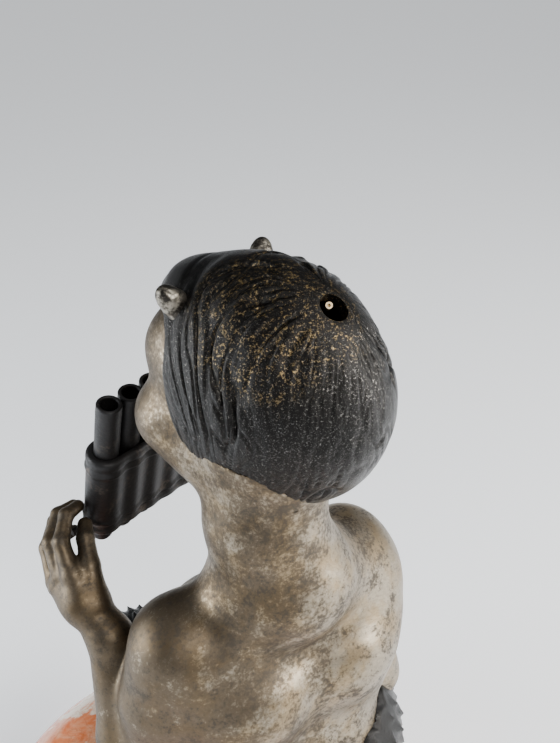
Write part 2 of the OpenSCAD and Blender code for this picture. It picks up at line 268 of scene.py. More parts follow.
def gridPiece(name, points, rowsClosed=False, outward=True, crease=50):
    # points[row, column] with closed columns; open ends are closed by a fan to their middle
    rows, columns = points.shape[:2]
    r, c = np.meshgrid(np.arange(rows if rowsClosed else rows - 1), np.arange(columns), indexing="ij")
    nextR, nextC = (r + 1) % rows, (c + 1) % columns
    here, ahead = r * columns, nextR * columns
    faces = np.stack([here + c, here + nextC, ahead + nextC, ahead + c], -1).reshape(-1, 4)
    flat = points.reshape(-1, 3)
    if not rowsClosed:
        flat = np.vstack([flat, points[0].mean(0), points[-1].mean(0)])
        c = np.arange(columns)
        nextC = (c + 1) % columns
        base = (rows - 1) * columns
        start = np.stack([nextC, c, np.full(columns, rows * columns)], -1)
        end = np.stack([base + c, base + nextC, np.full(columns, rows * columns + 1)], -1)
        faces = np.concatenate([faces[:, [0, 1, 2]], faces[:, [0, 2, 3]], start, end])
    if not outward:
        faces = faces[:, ::-1]
    return makeMesh(name, flat, faces, crease)


# trunk, neck and arms: places from the head's centre, each with its radius
trunk = {
    "step": 0.5,
    "neck": [((3, 6, -42), 12.6), ((4.3, 5.0, -28), 11.4), ((3.5, 4.0, -12), 11.2)],
    "chest": (10, 0, -70, 17.4),
    "waist": (8, 3, -93, 15.6),
    "hips": (10, 3, -110, 17.0),
    "blade": (12.0, 9.4, -70, 11.5),
    "flank": ((21, 3, -62), 9.8, (19.5, 4, -82), 9.2),
    "shoulderSlope": ((3, 7.5, -45), 10.5, (21, 2, -55), 7.8),
    "belly": ((0, -5.5, -90), 11.5, (0, -6.0, -102), 11.0),
    "breast": (8.5, -7.5, -68, 10.0),
    "spine": ((1, 25.5, -62), 1.0, (1, 24.6, -104), 1.8),
    "navel": (0, -18.6, -96, 0.9),
    # widths over which parts melt together: core, lumps, neck and its knots, furrow of the spine, navel
    "coreSoft": 12,
    "soft": 9.0,
    "neckSoft": 7,
    "knotSoft": 4,
    "spineSoft": 6,
    "navelSoft": 1.6,
    # the arms melt in by the first width under the lower height and by the second over the upper one
    "armSoft": ([-100, -86], [1.2, 6.0]),
}
# widths over which the parts of an arm and its hand melt together, and how far its skin follows the trunk's
flesh = {
    "elbow": 3,
    "palm": 3,
    "fingerRoot": 1.3,
    "knuckle": 0.7,
    "wrist": 2.5,
    "reach": 7,
}
leftArm = {
    "upper": [((24.5, 1.5, -54.5), 8.6), ((28.5, 1.0, -70), 8.0), ((33.5, 1.5, -97), 6.4)],
    "fore": [((33.5, 1.5, -97), 6.4), ((34.6, -4.5, -84), 6.4), ((32.6, -13.6, -61.5), 4.5)],
}
rightArm = {
    "upper": [((-20.0, -1.5, -52.5), 8.0), ((-24.3, 0.5, -70), 8.2), ((-28.4, 3.0, -98), 6.6)],
    "fore": [((-28.4, 3.0, -98), 6.6), ((-28.2, -7.0, -86), 6.6), ((-24.8, -22.0, -66.0), 4.6)],
}
leftHand = {
    "palm": [
        ((32.6, -13.6, -61.5), 4.5, (34.6, -20.0, -55.8), 4.3),
        ((34.6, -20.0, -55.8), 4.2, (37.2, -25.5, -53.8), 2.9),
        ((34.6, -20.0, -55.8), 4.0, (35.2, -22.0, -49.6), 2.6),
        ((34.6, -20.0, -55.8), 3.8, (37.0, -28.5, -57.3), 2.6),
    ],
    "fingers": [
        [((35.8, -22.8, -48.9), 2.1), ((35.4, -27.0, -43.7), 1.8),
         ((32.0, -31.6, -41.3), 1.6), ((28.6, -33.2, -41.5), 1.4)],
        [((37.2, -25.4, -50.9), 2.1), ((36.6, -30.4, -45.9), 1.85),
         ((32.6, -35.2, -43.5), 1.65), ((28.6, -36.4, -43.7), 1.4)],
        [((37.8, -28.2, -54.6), 2.1), ((36.8, -33.4, -49.9), 1.8),
         ((32.8, -38.2, -47.7), 1.6), ((28.6, -39.0, -47.7), 1.4)],
        [((37.0, -29.6, -57.8), 2.0), ((35.8, -34.2, -55.2), 1.65),
         ((32.2, -38.4, -53.4), 1.5), ((28.6, -38.8, -53.0), 1.3)],
        [((33.0, -17.6, -54.8), 2.9), ((31.6, -22.0, -48.5), 2.2),
         ((30.2, -26.6, -45.1), 1.9), ((28.8, -29.8, -44.3), 1.65)],
    ],
}
rightHand = {
    "palm": [
        ((-24.8, -22.0, -66.0), 4.6, (-24.2, -30.0, -58.0), 4.3),
        ((-24.2, -30.0, -58.0), 4.2, (-24.6, -36.4, -55.5), 2.9),
        ((-24.2, -30.0, -58.0), 4.0, (-23.6, -33.0, -52.2), 2.6),
        ((-24.2, -30.0, -58.0), 3.8, (-24.0, -38.0, -59.4), 2.6),
    ],
    "fingers": [
        [((-23.4, -33.6, -51.4), 2.1), ((-22.6, -37.8, -45.6), 1.8),
         ((-19.2, -42.0, -42.4), 1.6), ((-15.8, -42.8, -42.2), 1.4)],
        [((-24.6, -36.2, -53.4), 2.1), ((-23.2, -41.6, -48.4), 1.85),
         ((-19.6, -45.4, -45.4), 1.65), ((-15.6, -45.6, -45.2), 1.4)],
        [((-24.6, -38.2, -56.4), 2.1), ((-23.2, -43.6, -52.4), 1.8),
         ((-19.6, -47.0, -49.4), 1.6), ((-15.6, -47.2, -49.0), 1.4)],
        [((-24.0, -39.2, -59.4), 2.0), ((-22.6, -43.8, -56.6), 1.65),
         ((-19.4, -46.8, -54.0), 1.5), ((-16.0, -46.8, -53.4), 1.3)],
        [((-22.4, -28.0, -57.0), 2.9), ((-20.2, -31.4, -51.0), 2.2),
         ((-18.0, -34.4, -47.4), 1.9), ((-16.0, -36.4, -46.0), 1.65)],
    ],
}


def trunkField(points):
    # chest, waist and hips as fat limbs across the body, with blades, flanks, belly, breast and neck melted
    # on, and the furrow of the spine and the navel carved in
    q = points - headCentre
    m = q * np.array([-1.0, 1.0, 1.0])

    def across(x, y, z, r):
        return limb(q, (-x, y, z), r, (x, y, z), r)

    body = melt(trunk["coreSoft"], across(*trunk["chest"]), across(*trunk["waist"]), across(*trunk["hips"]))
    belly = limb(q, *trunk["belly"])
    breasts = [knob(p, trunk["breast"]) for p in (q, m)]
    blades = [knob(p, trunk["blade"]) for p in (q, m)]
    flanks = [limb(p, *trunk["flank"]) for p in (q, m)]
    slopes = [limb(p, *trunk["shoulderSlope"]) for p in (q, m)]
    body = melt(trunk["soft"], body, *blades, *flanks, *slopes, belly, *breasts)
    body = melt(trunk["neckSoft"], body, chain(q, trunk["neck"], trunk["knotSoft"]))
    body = carve(trunk["spineSoft"], body, limb(q, *trunk["spine"]))
    return carve(trunk["navelSoft"], body, knob(q, trunk["navel"]))


def armField(points, arm):
    # upper arm and forearm as tapering chains
    q = points - headCentre
    soft = flesh["elbow"]
    return melt(soft, chain(q, arm["upper"], soft), chain(q, arm["fore"], soft))


def handField(points, hand):
    # palm of four limbs, fingers and thumb as bent chains, each melted on
    q = points - headCentre
    palm = melt(flesh["palm"], *[limb(q, *bone) for bone in hand["palm"]])
    for finger in hand["fingers"]:
        palm = melt(flesh["fingerRoot"], palm, chain(q, finger, flesh["knuckle"]))
    return palm


def skinField(points):
    # trunk and both arms, melted widely at the shoulders and hardly at all below the armpits
    soft = np.interp(points[..., 2] - headCentre[2], *trunk["armSoft"])
    return melt(soft, trunkField(points), armField(points, leftArm), armField(points, rightArm))


def neckCut(points):
    # height over the slanting joint between the trunk's neck and the head
    lean = math.radians(figure["neckLean"])
    normal = np.array([0.0, -math.sin(lean), math.cos(lean)])
    return (inHead(points) - np.array(figure["neckJoint"])) @ normal


face = {
    "step": 0.4,
    "skull": (17.0, 23.2, 23.0),
    "eye": (7.2, -18.0, -1.6, 3.9),
    "socket": (7.6, -25.0, -1.4, 3.6),
    "cheek": (9.2, -13.6, -11.5, 8.4),
    "brow": ((-6.6, -14.6, 2.6), 7.4, (6.6, -14.6, 2.6), 7.4),
    "muzzle": ((0, -17.5, -11), 6.0, (0, -16.4, -19.5), 5.0),
    "jaw": ((9.5, -6.5, -15.5), 6.6, (1.5, -15.8, -21.0), 5.0),
    "nose": ((0, -21.8, 0.5), 1.5, (0, -25.4, -7.4), 2.0),
    "noseWing": (2.1, -23.2, -8.2, 1.5),
    "nostril": (1.2, -24.2, -9.9, 0.75),
    "upperLip": ((0, -23.4, -13.0), 1.25, (3.0, -22.2, -13.9), 0.7),
    "lowerLip": ((-2.0, -22.6, -16.2), 1.3, (2.0, -22.6, -16.2), 1.3),
    "mouth": ((-2.4, -24.3, -14.7), 0.55, (2.4, -24.3, -14.7), 0.55),
    "innerSlit": ((4.3, -21.6, -3.1), 0.28, (7.3, -22.0, -3.9), 0.34),
    "outerSlit": ((7.3, -22.0, -3.9), 0.34, (10.4, -20.6, -2.9), 0.26),
    "lidCrease": ((4.6, -21.4, 0.9), 0.22, (10.0, -20.2, 1.1), 0.2),
    # the head is kept in front of the first of these or below the second
    "earLine": -5.0,
    "napeLine": -8.0,
    # widths over which the parts melt together or are carved in
    "headSoft": 4.5,
    "neckSoft": 6.5,
    "socketSoft": 3.0,
    "noseSoft": 1.6,
    "lidSoft": 0.9,
    "lipSoft": 0.6,
    "lineSoft": 0.5,
}


def headBase(q):
    # skull under the hair, brow, cheeks, muzzle and jaw, in the head's own axes
    m = q * np.array([-1.0, 1.0, 1.0])
    cheeks = [knob(p, face["cheek"]) for p in (q, m)]
    jaw = [limb(p, *face["jaw"]) for p in (q, m)]
    middle = [limb(q, *face["brow"]), limb(q, *face["muzzle"])]
    return melt(face["headSoft"], egg(q, face["skull"]), *cheeks, *middle, *jaw)


def faceField(points):
    # the head with eye sockets, lids, nose, lips, slits and creases, melted into the neck
    q = inHead(points)
    m = q * np.array([-1.0, 1.0, 1.0])

    def pair(make):
        return np.minimum(make(q), make(m))

    head = carve(face["socketSoft"], headBase(q), pair(lambda p: knob(p, face["socket"])))
    head = melt(face["lidSoft"], head, pair(lambda p: knob(p, face["eye"])))
    wings = pair(lambda p: knob(p, face["noseWing"]))
    nose = melt(face["noseSoft"], limb(q, *face["nose"]), wings)
    head = melt(face["noseSoft"], head, nose)
    upperLip = pair(lambda p: limb(p, *face["upperLip"]))
    lips = melt(face["lipSoft"], upperLip, limb(q, *face["lowerLip"]))
    head = melt(face["lidSoft"], head, lips)
    slits = [pair(lambda p: limb(p, *face[line])) for line in ("innerSlit", "outerSlit")]
    crease = pair(lambda p: limb(p, *face["lidCrease"]))
    nostrils = pair(lambda p: knob(p, face["nostril"]))
    mouth = limb(q, *face["mouth"])
    head = carve(face["lineSoft"], head, np.minimum(*slits), crease, nostrils, mouth)
    return melt(face["neckSoft"], head, skinField(points))


def armShare(points, arm, side):
    # below 0 in an arm's share of the skin: half of how much nearer the trunk is than the arm, with the
    # side of a plane that lies towards the body's middle left to the trunk
    inner = figure["shoulderPlane"] - side * (points[..., 0] - headCentre[0])
    return np.maximum((armField(points, arm) - trunkField(points)) / 2, inner)


def shoulderSplit(points):
    # above 0 in the share of either arm
    return -np.minimum(armShare(points, leftArm, 1), armShare(points, rightArm, -1))


def torsoSkin(points):
    # the skin with the head's own base melted in, as the neck's joint face needs it on both sides
    return melt(face["neckSoft"], headBase(inHead(points)), skinField(points))


def trunkPiece():
    # the skin between the shoulder joints, the neck joint and the waist
    cuts = [lambda p: shoulderSplit(p) + figure["seam"],
            lambda p: neckCut(p) + figure["seam"],
            lambda p: low(0, 0, figure["waistHeight"])[2] - p[..., 2]]
    return carvedPiece("torso", torsoSkin, cuts, low(-37, -26, figure["waistHeight"]), up(37, 32, -10),
                       trunk["step"])


def armPiece(name, arm, hand):
    # an arm's share of the skin, with its hand
    side = 1 if hand is leftHand else -1
    points = np.array([up(*p) for p, r in arm["upper"] + arm["fore"]])

    def skin(p):
        armSkin = np.maximum(skinField(p), armField(p, arm) - flesh["reach"])
        return melt(flesh["wrist"], armSkin, handField(p, hand))

    cuts = [lambda p: armShare(p, arm, side) + figure["seam"]]
    return carvedPiece(name, skin, cuts, points.min(0) - np.array([10, 30, 9]),
                       points.max(0) + np.array([10, 20, 22]), trunk["step"] * 0.8)


torsoPiece = trunkPiece()
print("torso", len(torsoPiece.data.polygons))
leftArmPiece = armPiece("arm_left", leftArm, leftHand)
rightArmPiece = armPiece("arm_right", rightArm, rightHand)
print("arms", len(leftArmPiece.data.polygons), len(rightArmPiece.data.polygons))


def facePiece():
    # everything in front of and below the hair; under the hair the skull is cut away
    def skin(p):
        q = inHead(p)
        return np.maximum(faceField(p), np.minimum(q[..., 1] - face["earLine"], q[..., 2] - face["napeLine"]))

    return carvedPiece("face_and_neck", skin, [lambda p: -neckCut(p) + figure["seam"]],
                       headCentre - np.array([27, 34, 34]), headCentre + np.array([27, 26, 22]), face["step"])


faceObject = facePiece()
print("face", len(faceObject.data.polygons))

hair = {
    "columns": 384,
    "rows": 205,
    "radii": (18.6, 25.0, 24.6),
    "wall": 2.2,
    "holeRadius": 2.7,
    "holeAt": (0.0, 12.0, 21.6),
    "goldAt": (7.5, 5.0, 23.0),
    "goldReach": 17.0,
    "lockDepth": 0.85,
    "strandDepth": 0.55,
    # azimuth from the front and height of the hair's edge, degrees
    "line": [(0, 22), (20, 24), (36, 28), (47, 24), (53, 12), (58, 0), (64, -16), (70, -33), (77, -46),
             (86, -53), (104, -60), (127, -63), (151, -58), (180, -49)],
    # swellings of the hair: way from the head's centre, height and width
    "swellings": [((0.12, -0.85, 0.49), 2.0, 0.28), ((-0.42, -0.45, 0.79), -1.1, 0.34),
                  ((-0.64, 0.76, -0.25), 0.8, 0.6), ((-0.25, 0.75, -0.6), 0.7, 0.5),
                  ((-0.16, -0.85, 0.49), 1.4, 0.24)],
    "drawnIn": 0.12,
    # how the lines leave the hole: sideways bend, angle where it starts, its power
    "bend": (0.75, 0.12, 1.25),
    "swayReach": 1.6,
    # cells round the head, cells for each radian down from the hole, seed
    "layers": {"sway": (6, 2.3, 5), "locks": (30, 2.4, 11), "strands": (64, 3.6, 12),
               "finest": (128, 6.0, 13), "patches": (8, 2.6, 14), "broad": (7, 2.2, 15)},
    "lockWidth": 0.075,
    "strandWidth": 0.12,
    "fineDepth": 0.07,
    "broadDepth": 0.7,
    # the crown is smooth to the first angle and combed in full after the second one more
    "smoothCrown": (0.22, 0.30, 1.3),
    # a lump of curls below the ear: ways to their centres, radius and height, and the ditch round each
    "curlAzimuths": (70, 98, 5),
    "curlHeights": (-35, -44, -49, -50.5, -51.5),
    "curlReach": 21,
    "curl": (1.2, 0.9),
    "ditch": (1.9, 0.5, 0.35),
    "rimWidth": 0.02,
    "rimDepth": 0.12,
}


def headWay(azimuth, height):
    # unit vector in the head: left, back, up
    a, e = np.radians(azimuth), np.radians(height)
    return np.stack([np.sin(a) * np.cos(e), -np.cos(a) * np.cos(e), np.sin(e)], -1)


def onEgg(ways, inset=0.0):
    # the point of the hair's egg that lies along each unit vector from its centre
    radii = np.asarray(hair["radii"]) - np.asarray(inset)[..., None]
    return ways / np.linalg.norm(ways / radii, axis=-1, keepdims=True)


crownPole = np.asarray(hair["holeAt"]) / np.linalg.norm(hair["holeAt"])
poleSide = np.array([1.0, 0, 0])
poleFront = np.array([0, -crownPole[2], crownPole[1]])


def crownWayTo(around, down):
    # unit vector at angle down from the crown hole, turned by around from the front towards the left
    level = poleFront * np.cos(around)[..., None] + poleSide * np.sin(around)[..., None]
    return crownPole * np.cos(down)[..., None] + level * np.sin(down)[..., None]


def hairEdge(around):
    # angle from the crown hole down to the hair's edge, for each angle around
    table = np.array(hair["line"], float)
    azimuth = np.concatenate([-table[::-1, 0], table[1:, 0]])
    height = np.concatenate([table[::-1, 1], table[1:, 1]])
    ways = headWay(azimuth, height)
    downs = np.arccos(np.clip(ways @ crownPole, -1, 1))
    turns = np.arctan2(ways @ poleSide, ways @ poleFront)
    order = np.argsort(turns)
    return np.interp(around, turns[order], downs[order], period=2 * np.pi)


def groove(noise, width):
    # 1 along the lines where the noise passes one half, falling away on both sides
    return np.exp(-((noise - 0.5) / width) ** 2)


def hairRelief(around, down, share):
    # grooves along lines that leave the hole and bend down towards the nape, deeper in some patches
    bend, bendStart, bendPower = hair["bend"]
    swing = bend * np.sin(around) * np.clip(down - bendStart, 0, None) ** bendPower
    line = (around - swing) / (2 * np.pi)

    def layer(kind, shift=0):
        # noise with its own number of cells round the head
        cells, length, seed = hair["layers"][kind]
        return noise2(line * cells + shift, down * length, seed, cells)

    sway = hair["swayReach"] * layer("sway")
    locks = groove(layer("locks", sway), hair["lockWidth"])
    strands = groove(layer("strands", 2 * sway), hair["strandWidth"])
    patches = np.clip(layer("patches") * 3.0 - 0.9, 0, 1)
    broad = hair["broadDepth"] * (layer("broad") - 0.5)
    smooth, combed, power = hair["smoothCrown"]
    away = np.clip((down - smooth) / combed, 0, 1) ** power
    calm = np.clip(1.25 - share, 0.25, 1)
    depth = hair["lockDepth"] * locks * (0.2 + 0.8 * patches)
    depth = depth + hair["strandDepth"] * strands * (0.3 + 0.7 * patches)
    return -(depth * calm + hair["fineDepth"] * layer("finest") - broad * calm) * away


def hairPiece():
    # closed ring of profiles round the crown hole: outside, lip at the edge and inside
    columns, rows = hair["columns"], hair["rows"]
    around = np.linspace(0, 2 * np.pi, columns, endpoint=False)
    holeDown = hair["holeRadius"] / np.linalg.norm(hair["holeAt"])
    edge = hairEdge(around)[:, None]
    a, s = np.meshgrid(around, np.linspace(0, 1, rows), indexing="ij")
    down = holeDown + (edge - holeDown) * s ** 0.93
    way = crownWayTo(a, down)
    outside = onEgg(way)
    relief = hairRelief(a, down, s) - hair["drawnIn"]
    for centre, height, width in hair["swellings"]:
        centre = np.array(centre) / np.linalg.norm(centre)
        relief = relief + height * np.exp(-((way - centre) ** 2).sum(-1) / width ** 2)
    curlRadius, curlHeight = hair["curl"]
    ditchAt, ditchWidth, ditchDepth = hair["ditch"]
    for curl in headWay(np.linspace(*hair["curlAzimuths"]), np.array(hair["curlHeights"])):
        gap = np.linalg.norm(way - curl, axis=-1) * hair["curlReach"]
        relief = relief + curlHeight * np.exp(-(gap / curlRadius) ** 2)
        relief = relief - ditchDepth * np.exp(-((gap - ditchAt) / ditchWidth) ** 2)
    relief = relief - 1.0 * np.clip((s - 0.965) / 0.035, 0, 1) ** 2.5
    rim = np.exp(-((down - holeDown) / hair["rimWidth"]) ** 2)
    outside = outside + way * (relief - hair["rimDepth"] * rim)[..., None]
    a2, turnShare = np.meshgrid(around, np.linspace(0.15, 0.95, 7), indexing="ij")
    lip = onEgg(crownWayTo(a2, edge + 0.035 * np.sin(np.pi * turnShare)), hair["wall"] * turnShare)
    lip = lip * (1 + (relief[:, -1:] * (1 - turnShare) / np.linalg.norm(lip, axis=-1)))[..., None]
    a3, s3 = np.meshgrid(around, np.linspace(1, 0, 34), indexing="ij")
    inside = onEgg(crownWayTo(a3, holeDown + (edge - holeDown) * s3), hair["wall"])
    ring = np.concatenate([outside, lip, inside], axis=1)
    return gridPiece("hair", fromHead(ring), rowsClosed=True, outward=False, crease=60)


hairPart = hairPiece()
print("hair", len(hairPart.data.polygons))

horns = {
    "root": (0.60, -0.54, 0.59),   # shares of the hair's half width, length and height
    "lean": (0.56, -0.34, 0.74),
    "radius": 2.65,
    "height": 4.4,
    "sink": 1.2,
}


def horn(name, side):
    # profile of a blunt bud carried round its axis, with shallow rings near the root
    root = np.array(horns["root"]) * np.array(hair["radii"]) * np.array([side, 1, 1])
    way = np.array(horns["lean"]) * np.array([side, 1, 1])
    way = way / np.linalg.norm(way)
    across = np.cross(way, [0, 0, 1.0])
    across = across / np.linalg.norm(across)
    other = np.cross(way, across)
    t, a = np.meshgrid(np.linspace(0, 1, 60), np.linspace(0, 2 * np.pi, 72, endpoint=False), indexing="ij")
    bulge = 1 + 0.03 * np.sin(3 * a + 4 * t) + 0.025 * np.cos(22 * t) * (1 - t)
    radius = horns["radius"] * np.sqrt(np.clip(1 - t ** 3.6, 0, 1)) * (1 - 0.24 * t) * bulge
    height = -horns["sink"] + (horns["height"] + horns["sink"]) * t ** 0.9
    points = root + way * height[..., None] + across * (radius * np.cos(a))[..., None]
    return gridPiece(name, fromHead(points + other * (radius * np.sin(a))[..., None]))


leftHorn = horn("horn_left", 1)
rightHorn = horn("horn_right", -1)
print("horns")

pipes = {
    "count": 7,
    "mouth": (21.1, -26.4, -13.0),   # middle of the longest pipe's mouth, from the head's centre
    "turn": 14.0,
    "tilt": 13.0,
    "radius": 2.8,
    "bore": 1.9,
    "boreDepth": 14.0,
    "pitch": 5.7,
    "length": 43.0,
    "step": 0.4,
    "bandDrop": 14.0,
    "bandWidth": 24.0,
    "bandWall": 0.85,
    "bandFit": 0.05,
    "bandSoft": 1.0,
    "flute": 0.5,
    # rim and cord of the band: place from its edge, width, height
    "rim": (1.4, 1.1, 0.45),
    "cord": (4.2, 0.7, 0.35),
    "edgeLoss": 0.1,
}
pipeTurn, pipeTilt = math.radians(pipes["turn"]), math.radians(pipes["tilt"])
pipeSide = np.array([math.cos(pipeTurn), math.sin(pipeTurn), 0.0])
pipeRise = np.array([-math.sin(pipeTurn) * math.sin(pipeTilt), math.cos(pipeTurn) * math.sin(pipeTilt),
                     math.cos(pipeTilt)])
pipeAxes = np.array([pipeSide, np.cross(pipeRise, pipeSide), pipeRise])
pipeMouth = up(*pipes["mouth"])


def pipePiece(k):
    # profile of a tube with a round foot, a soft mouth and a bore, carried round its axis
    length = pipes["length"] - pipes["step"] * k
    r, bore = pipes["radius"], pipes["bore"]
    foot = np.linspace(0.02, np.pi / 2, 14)
    wallHeight = np.linspace(-length + r, -0.5, 40)
    lip = np.linspace(0, np.pi, 12)
    mid, half = (r + bore) / 2 - 0.06, (r - bore) / 2 - 0.02
    boreHeight = np.linspace(-0.5, -pipes["boreDepth"], 16)
    swell = 0.07 * np.exp(-((wallHeight + 2.2) / 0.6) ** 2) - pipes["edgeLoss"]
    radius = np.concatenate([(r - pipes["edgeLoss"]) * np.sin(foot), r + swell, mid + half * np.cos(lip),
                             np.full(16, bore), [bore * 0.5]])
    height = np.concatenate([-length + r - r * np.cos(foot), wallHeight, -0.5 + half * np.sin(lip),
                             boreHeight, [-pipes["boreDepth"] - 0.6]])
    h, a = np.meshgrid(np.arange(len(radius)), np.linspace(0, 2 * np.pi, 56, endpoint=False), indexing="ij")
    rr = radius[h] * (1 + 0.008 * np.sin(3 * a + 0.6 * h + k))
    local = np.stack([rr * np.cos(a) - k * pipes["pitch"], rr * np.sin(a), height[h]], -1)
    return gridPiece("pipe_" + str(k + 1), local @ pipeAxes + pipeMouth, crease=60)


def bindingPiece():
    # a bar with round ends, fluted over the pipes and proud at both rims, with the row of pipes left out
    row = -(pipes["count"] - 1) * pipes["pitch"]
    middle = -pipes["bandDrop"] - pipes["bandWidth"] / 2
    half = pipes["bandWidth"] / 2
    rimAt, rimWidth, rimHeight = pipes["rim"]
    cordAt, cordWidth, cordHeight = pipes["cord"]

    def seen(p):
        return (p - pipeMouth) @ pipeAxes.T

    def barDistance(q):
        along = np.clip(q[..., 0], row, 0)
        return np.hypot(q[..., 0] - along, q[..., 1])

    def skin(p):
        q = seen(p)
        fromRim = half - np.abs(q[..., 2] - middle)
        flute = pipes["flute"] * np.cos(np.pi * np.clip(q[..., 0], row, 0) / pipes["pitch"]) ** 2
        rim = np.exp(-((fromRim - rimAt) / rimWidth) ** 4)
        cord = cordHeight * np.exp(-((fromRim - cordAt) / cordWidth) ** 2)
        thick = pipes["radius"] + pipes["bandWall"] + flute * (1 - 0.5 * rim) + rimHeight * rim + cord
        return carve(pipes["bandSoft"], barDistance(q) - thick, fromRim)

    cuts = [lambda p: pipes["radius"] + pipes["bandFit"] - barDistance(seen(p))]
    ends = (middle - half, middle + half)
    corners = np.array([[x, y, z] for x in (row - 5, 5) for y in (-5, 5) for z in ends])
    corners = corners @ pipeAxes + pipeMouth
    return carvedPiece("pipe_band", skin, cuts, corners.min(0), corners.max(0), 0.4)


pipePieces = [pipePiece(k) for k in range(pipes["count"])]
bandPiece = bindingPiece()
print("pipes", len(bandPiece.data.polygons))

fur = {
    "step": 0.55,
    "rise": 1.25,
    "pelvis": ((-13, 3, 18), 19.0, (13, 3, 18), 19.0),
    "haunch": ((13.5, 3, 17.5), 18.6, (12.5, -16, 17), 12.6),
    "tail": [((2, 20, 12), 5.2), ((2.3, 24.5, 7), 4.4), ((2.6, 27.0, 1.5), 1.0)],
    "leg": [((12, -17, 17), 12.6), ((14, -46, 18), 9.0), ((13.4, -54.5, 7.0), 7.0), ((13, -63, -4), 4.9),
            ((11, -69.5, -17), 3.9)],
    "calf": ((14, -49, 10), 6.0, (13.6, -56, 2), 4.4),
    "feather": ((11.2, -68.6, -15.0), 4.6, (11.0, -69.6, -19.0), 4.9),
    "featherEnd": -19.5,
    # tufts: columns round the body, length of a lock, seed
    "hipTufts": (40, 5.6, 21),
    "legTufts": (18, 5.2, 31),
    "legRise": (1.25, 1.15, 1.0, 0.8),
    "collar": 1.5,
    "hoof": (11.0, -70.3, -27.0),
    "toe": 2.75,
}


def tufts(turnAngle, along, count, length, seed):
    # columns of locks at uneven heights, each rising from its root to a pointed tip, with strands along them
    starts = np.random.default_rng(seed).random(count)
    sway = 0.8 * noise2(turnAngle * 3 / np.pi, along / length * 0.45, seed, 6)
    u = turnAngle / (2 * np.pi) * count + sway
    column = np.floor(u)
    row = along / length + starts[(column % count).astype(int)]
    number = np.floor(row)
    v = row - number
    s = u - column - 0.5
    ridge = np.clip(1 - (np.abs(s) / (0.56 * (1.12 - v))) ** 2, 0, 1)
    strand = 0.16 * np.cos(2 * np.pi * s * 5) * ridge
    return (v * ridge + strand * v) * np.clip((1 - v) / 0.14, 0, 1)


def stoneGap(points):
    # above 0 inside the stone: a flat middle with a full round edge
    middle = (stoneLow[2] + stoneHigh[2]) / 2
    edge = (stoneHigh[2] - stoneLow[2]) / 2
    flat = stoneHigh[0] - edge
    reach = np.maximum(np.hypot(points[..., 0], points[..., 1]) - flat, 0)
    return edge - np.hypot(reach, points[..., 2] - middle)


def hipField(points):
    # pelvis, haunches and tail, with a collar that thins out over the trunk's skin, all tufted
    q = points - seatPoint
    m = q * np.array([-1.0, 1.0, 1.0])
    body = melt(5, limb(q, *fur["pelvis"]), *[limb(p, *fur["haunch"]) for p in (q, m)])
    body = melt(3, body, chain(q, fur["tail"], 2))
    around = np.arctan2(q[..., 0], -(q[..., 1] - 3))
    lock = tufts(around, 40 - q[..., 2], *fur["hipTufts"])
    top = figure["waistHeight"] + 4.0 + 2.6 * np.abs(np.sin(around * 11 + 0.7 * np.sin(around * 3)))
    collar = trunkField(points) - fur["collar"] * np.clip((top - q[..., 2]) / 7, 0, 1)
    collar = np.maximum(collar, q[..., 2] - top)
    fade = np.clip((top - q[..., 2]) / 6, 0, 1)
    return melt(3, body, np.maximum(collar, 8 - q[..., 2])) - fur["rise"] * lock * fade


def hipPiece():
    # cut by the trunk above the waist, by the legs in front and by the stone below
    cuts = [lambda p: np.minimum(0.03 - trunkField(p), p[..., 2] - low(0, 0, figure["waistHeight"])[2]),
            lambda p: low(0, figure["thighFace"] + figure["seam"], 0)[1] - p[..., 1],
            stoneGap]
    return carvedPiece("furry_hips", hipField, cuts, low(-35, -18, -16), low(35, 32, 34), fur["step"])


def legPiece(name, side):
    # a tufted goat leg from thigh to fetlock, ending over a cloven hoof
    flip = np.array([side, 1.0, 1.0])
    knots = fur["leg"]

    def skin(p):
        q = (p - seatPoint) * flip
        parts, turns, alongs, run = [], [], [], 0
        for a, b in zip(knots, knots[1:]):
            start, end = np.array(a[0], float), np.array(b[0], float)
            way = end - start
            span = np.linalg.norm(way)
            way = way / span
            parts.append(limb(q, *a, *b))
            alongs.append(run + (q - start) @ way)
            level = np.cross(way, [1.0, 0, 0])
            turns.append(np.arctan2((q - start) @ level, (q - start)[..., 0]))
            run += span
        parts = np.array(parts)
        nearest = np.argmin(parts, 0)
        pick = (nearest,) + tuple(np.indices(nearest.shape))
        lock = tufts(np.array(turns)[pick], np.array(alongs)[pick], *fur["legTufts"])
        body = melt(3, *parts, limb(q, *fur["calf"]), limb(q, *fur["feather"]))
        return body - np.array(fur["legRise"])[nearest] * lock

    cuts = [lambda p: p[..., 1] - low(0, figure["thighFace"] - figure["seam"], 0)[1], stoneGap,
            lambda p: low(0, 0, fur["featherEnd"])[2] - p[..., 2]]
    points = np.array([seatPoint + np.array(place) * flip for place, r in knots])
    return carvedPiece(name, skin, cuts, points.min(0) - np.array([10, 6, 4]),
                       points.max(0) + np.array([12, 4, 16]), fur["step"] * 0.85)


def hoofField(points, side):
    # two toes, each a leaning limb cut flat below, with the cleft between them
    q = (points - seatPoint) * np.array([side, 1.0, 1.0])
    x, y, z = fur["hoof"]
    toes = [limb(q, (x + s * 2.0, y + 0.2, z + 8.6), 2.6, (x + s * 2.35, y - 0.9, z + 1.6), fur["toe"])
            for s in (-1, 1)]
    hoof = np.minimum(*toes)
    rings = 0.08 * np.cos(q[..., 2] * 3.2)
    return np.maximum(hoof + rings, (z + 0.3) - q[..., 2])


def hoofPiece(name, side):
    # mesh of one cloven hoof
    base = seatPoint + np.array(fur["hoof"]) * np.array([side, 1, 1])
    return carvedPiece(name, lambda p: hoofField(p, side), [], base - np.array([7, 7, 1]),
                       base + np.array([7, 7, 13]), 0.35)


